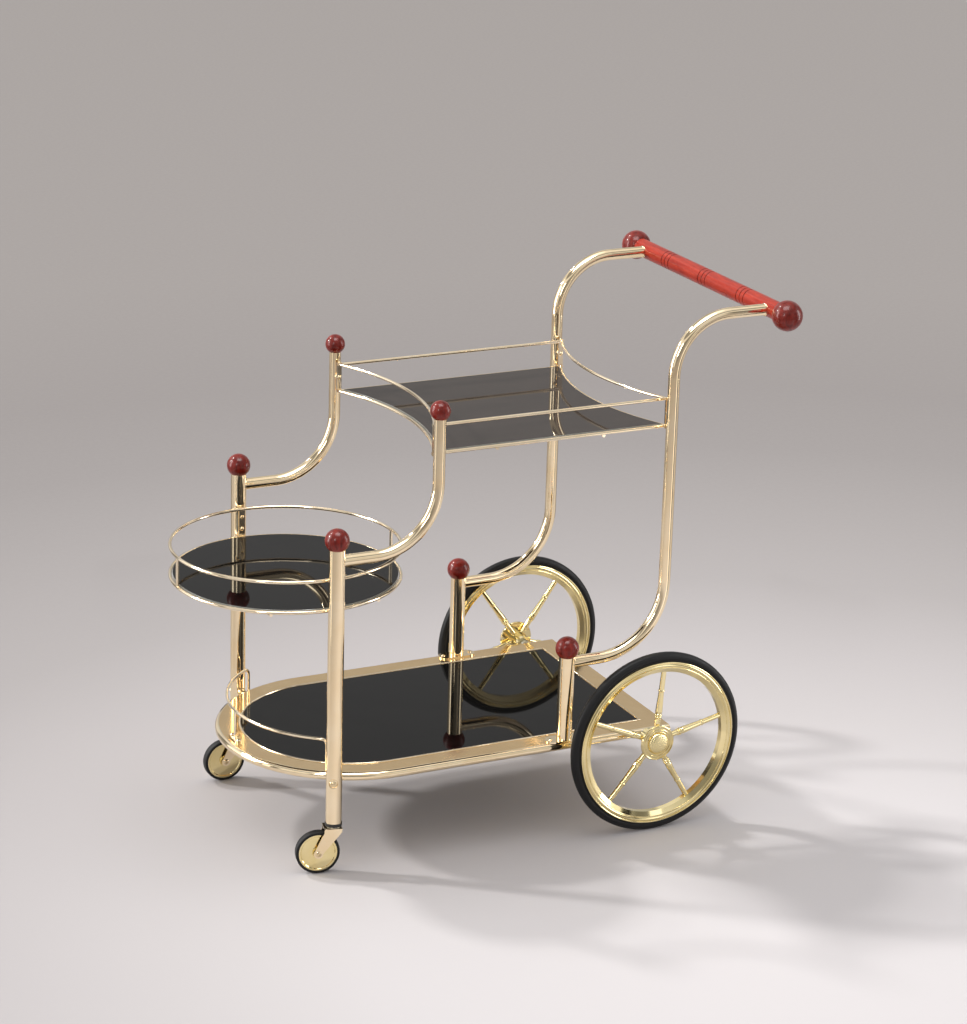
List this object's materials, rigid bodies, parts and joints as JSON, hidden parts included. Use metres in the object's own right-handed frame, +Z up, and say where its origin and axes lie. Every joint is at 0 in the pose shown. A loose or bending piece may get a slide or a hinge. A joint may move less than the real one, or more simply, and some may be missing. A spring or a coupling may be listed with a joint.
{
  "type": "serving trolley",
  "caption": "Serving trolley in polished brass tube with two black glass shelves, a round front tray, turned wooden finials and handle, large spoked rear wheels and swivel casters.",
  "frame": {"origin": "on the floor below the middle of the overall box", "axes": "+Z up, +X towards the handle, +Y to the right hand of the person pushing the trolley"},
  "size_m": [0.9552, 0.544, 0.8673],
  "materials": {
    "brass_tube": "polished",
    "brass_wire": "polished",
    "brass_wheel": "polished",
    "brass_fasteners": "polished",
    "cherry_wood": "high gloss lacquer",
    "handle_wood": "gloss lacquer",
    "black_glass": "polished",
    "rubber": "matt",
    "black_plastic": "satin",
    "plain_steel": "zinc plated"
  },
  "bodies": {
    "cart": {"left_front_leg": "brass_tube", "right_front_leg": "brass_tube", "left_front_finial": "cherry_wood", "right_front_finial": "cherry_wood", "left_upper_tube": "brass_tube", "right_upper_tube": "brass_tube", "left_upper_finial": "cherry_wood", "right_upper_finial": "cherry_wood", "left_rear_tube": "brass_tube", "right_rear_tube": "brass_tube", "left_short_post": "brass_tube", "right_short_post": "brass_tube", "left_post_finial": "cherry_wood", "right_post_finial": "cherry_wood", "post_base_plates": "brass_tube", "handle_bar": "handle_wood", "left_handle_ball": "cherry_wood", "right_handle_ball": "cherry_wood", "upper_top_rail": "brass_wire", "upper_shelf_rail": "brass_wire", "upper_corner_struts": "brass_wire", "upper_glass": "black_glass", "tray_top_ring": "brass_wire", "tray_bottom_ring": "brass_wire", "tray_struts": "brass_wire", "tray_glass": "black_glass", "shelf_pan": "brass_tube", "shelf_edge_tube": "brass_tube", "shelf_glass_bead": "brass_wire", "shelf_glass": "black_glass", "guard_rail": "brass_wire", "rail_screws": "brass_fasteners", "base_screws": "brass_fasteners", "leg_bolts": "brass_fasteners", "axle_brackets": "brass_tube", "axle_nuts": "plain_steel", "left_stub_axle": "plain_steel", "right_stub_axle": "plain_steel", "left_caster_socket": "black_plastic", "right_caster_socket": "black_plastic"},
    "left_caster": {"left_caster_stem": "plain_steel", "left_caster_fork": "brass_tube", "left_caster_axle": "brass_fasteners"},
    "left_caster_roller": {"left_caster_wheel": "brass_wheel", "left_caster_tyre": "rubber"},
    "right_caster": {"right_caster_stem": "plain_steel", "right_caster_fork": "brass_tube", "right_caster_axle": "brass_fasteners"},
    "right_caster_roller": {"right_caster_wheel": "brass_wheel", "right_caster_tyre": "rubber"},
    "left_wheel": {"left_wheel_tyre": "rubber", "left_wheel_rim": "brass_wheel", "left_wheel_spokes": "brass_wheel", "left_wheel_hub": "brass_wheel", "left_hub_cap": "brass_wheel"},
    "right_wheel": {"right_wheel_tyre": "rubber", "right_wheel_rim": "brass_wheel", "right_wheel_spokes": "brass_wheel", "right_wheel_hub": "brass_wheel", "right_hub_cap": "brass_wheel"}
  },
  "joints": [
    {"name": "left_caster_swivel", "type": "hinge", "parent": "cart", "child": "left_caster", "pos_m": [-0.29285, -0.2005, 0.084], "axis": [0, 0, 1], "continuous": true},
    {"name": "left_caster_roll", "type": "hinge", "parent": "left_caster", "child": "left_caster_roller", "pos_m": [-0.31721, -0.19488, 0.035], "axis": [-0.225, -0.9744, 0], "continuous": true},
    {"name": "left_wheel_roll", "type": "hinge", "parent": "cart", "child": "left_wheel", "pos_m": [0.25065, -0.248, 0.1524], "axis": [0, 1, 0], "continuous": true},
    {"name": "right_caster_swivel", "type": "hinge", "parent": "cart", "child": "right_caster", "pos_m": [-0.29285, 0.2005, 0.084], "axis": [0, 0, 1], "continuous": true},
    {"name": "right_caster_roll", "type": "hinge", "parent": "right_caster", "child": "right_caster_roller", "pos_m": [-0.31785, 0.2005, 0.035], "axis": [0, -1, 0], "continuous": true},
    {"name": "right_wheel_roll", "type": "hinge", "parent": "cart", "child": "right_wheel", "pos_m": [0.25065, 0.248, 0.1524], "axis": [0, 1, 0], "continuous": true}
  ]
}
